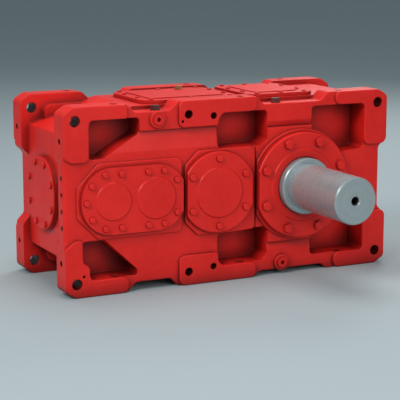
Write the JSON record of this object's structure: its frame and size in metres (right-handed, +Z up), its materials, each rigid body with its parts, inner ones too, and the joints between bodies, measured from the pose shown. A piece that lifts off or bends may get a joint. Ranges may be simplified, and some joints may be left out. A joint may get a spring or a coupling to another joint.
{
  "type": "industrial gearbox",
  "caption": "Parallel-shaft industrial gearbox with a block-shaped foot-mounted housing, bolt pockets, bolted bearing covers and a solid cylindrical output shaft.",
  "frame": {"origin": "centre of the four outer foot bolt holes, in the base plane of the feet", "axes": "+X along the housing from the input end to the output end, -Y out of the front along the output shaft, +Z up"},
  "size_m": [1.0104, 0.829, 0.526],
  "materials": {
    "housing_paint": "glossy red machinery paint over a cast surface",
    "cover_paint": "glossy red machinery paint over machined iron",
    "screw_paint": "red paint over steel screw heads",
    "plug_steel": "red paint, dark in the sockets",
    "plug_zinc": "bright zinc-plated",
    "breather_brass": "satin",
    "seal_rubber": "matte black",
    "ground_steel": "fine turned and ground",
    "gear_steel": "ground flanks, oiled",
    "bearing_steel": "polished",
    "key_steel": "drawn"
  },
  "bodies": {
    "case": {"breather": "breather_brass", "cover_screws_m10": "screw_paint", "cover_screws_m12": "screw_paint", "cover_screws_m16": "screw_paint", "end_cover": "cover_paint", "end_cover_screws": "screw_paint", "end_plugs": "plug_steel", "first_bearing_front_outer": "bearing_steel", "first_bearing_rear_outer": "bearing_steel", "front_double_cover": "cover_paint", "front_mid_cover": "cover_paint", "front_output_cover": "cover_paint", "housing": "housing_paint", "input_bearing_front_outer": "bearing_steel", "input_bearing_rear_outer": "bearing_steel", "input_seal": "seal_rubber", "oil_plugs": "screw_paint", "output_bearing_front_outer": "bearing_steel", "output_bearing_rear_outer": "bearing_steel", "output_seal": "seal_rubber", "rear_first_cover": "cover_paint", "rear_input_cover": "cover_paint", "rear_mid_cover": "cover_paint", "rear_output_cover": "cover_paint", "second_bearing_front_outer": "bearing_steel", "second_bearing_rear_outer": "bearing_steel", "top_cover_left": "cover_paint", "top_cover_right": "cover_paint", "top_cover_screws": "screw_paint", "top_plugs": "plug_zinc"},
    "output_train": {"output_bearing_front_inner": "bearing_steel", "output_bearing_rear_inner": "bearing_steel", "output_key": "key_steel", "output_shaft": "ground_steel", "output_spacer": "key_steel", "output_wheel": "gear_steel"},
    "second_train": {"second_bearing_front_inner": "bearing_steel", "second_bearing_rear_inner": "bearing_steel", "second_key": "key_steel", "second_shaft": "gear_steel", "second_spacer": "key_steel", "second_wheel": "gear_steel"},
    "first_train": {"first_bearing_front_inner": "bearing_steel", "first_bearing_rear_inner": "bearing_steel", "first_key": "key_steel", "first_shaft": "gear_steel", "first_spacer": "key_steel", "first_wheel": "gear_steel"},
    "input_train": {"input_bearing_front_inner": "bearing_steel", "input_bearing_rear_inner": "bearing_steel", "input_shaft": "ground_steel"}
  },
  "joints": [
    {"name": "output_spin", "type": "hinge", "parent": "case", "child": "output_train", "pos_m": [0.212, 0, 0.258], "axis": [0, 1, 0], "continuous": true},
    {"name": "second_spin", "type": "hinge", "parent": "case", "child": "second_train", "pos_m": [-0.052, 0, 0.258], "axis": [0, 1, 0], "continuous": true},
    {"name": "first_spin", "type": "hinge", "parent": "case", "child": "first_train", "pos_m": [-0.242, 0, 0.258], "axis": [0, 1, 0], "continuous": true},
    {"name": "input_spin", "type": "hinge", "parent": "case", "child": "input_train", "pos_m": [-0.368, 0, 0.258], "axis": [0, 1, 0], "continuous": true}
  ],
  "couplings": [
    {"joint": "second_spin", "follows": "output_spin", "ratio": -2.8261},
    {"joint": "first_spin", "follows": "output_spin", "ratio": 7.913},
    {"joint": "input_spin", "follows": "output_spin", "ratio": -22.3}
  ]
}
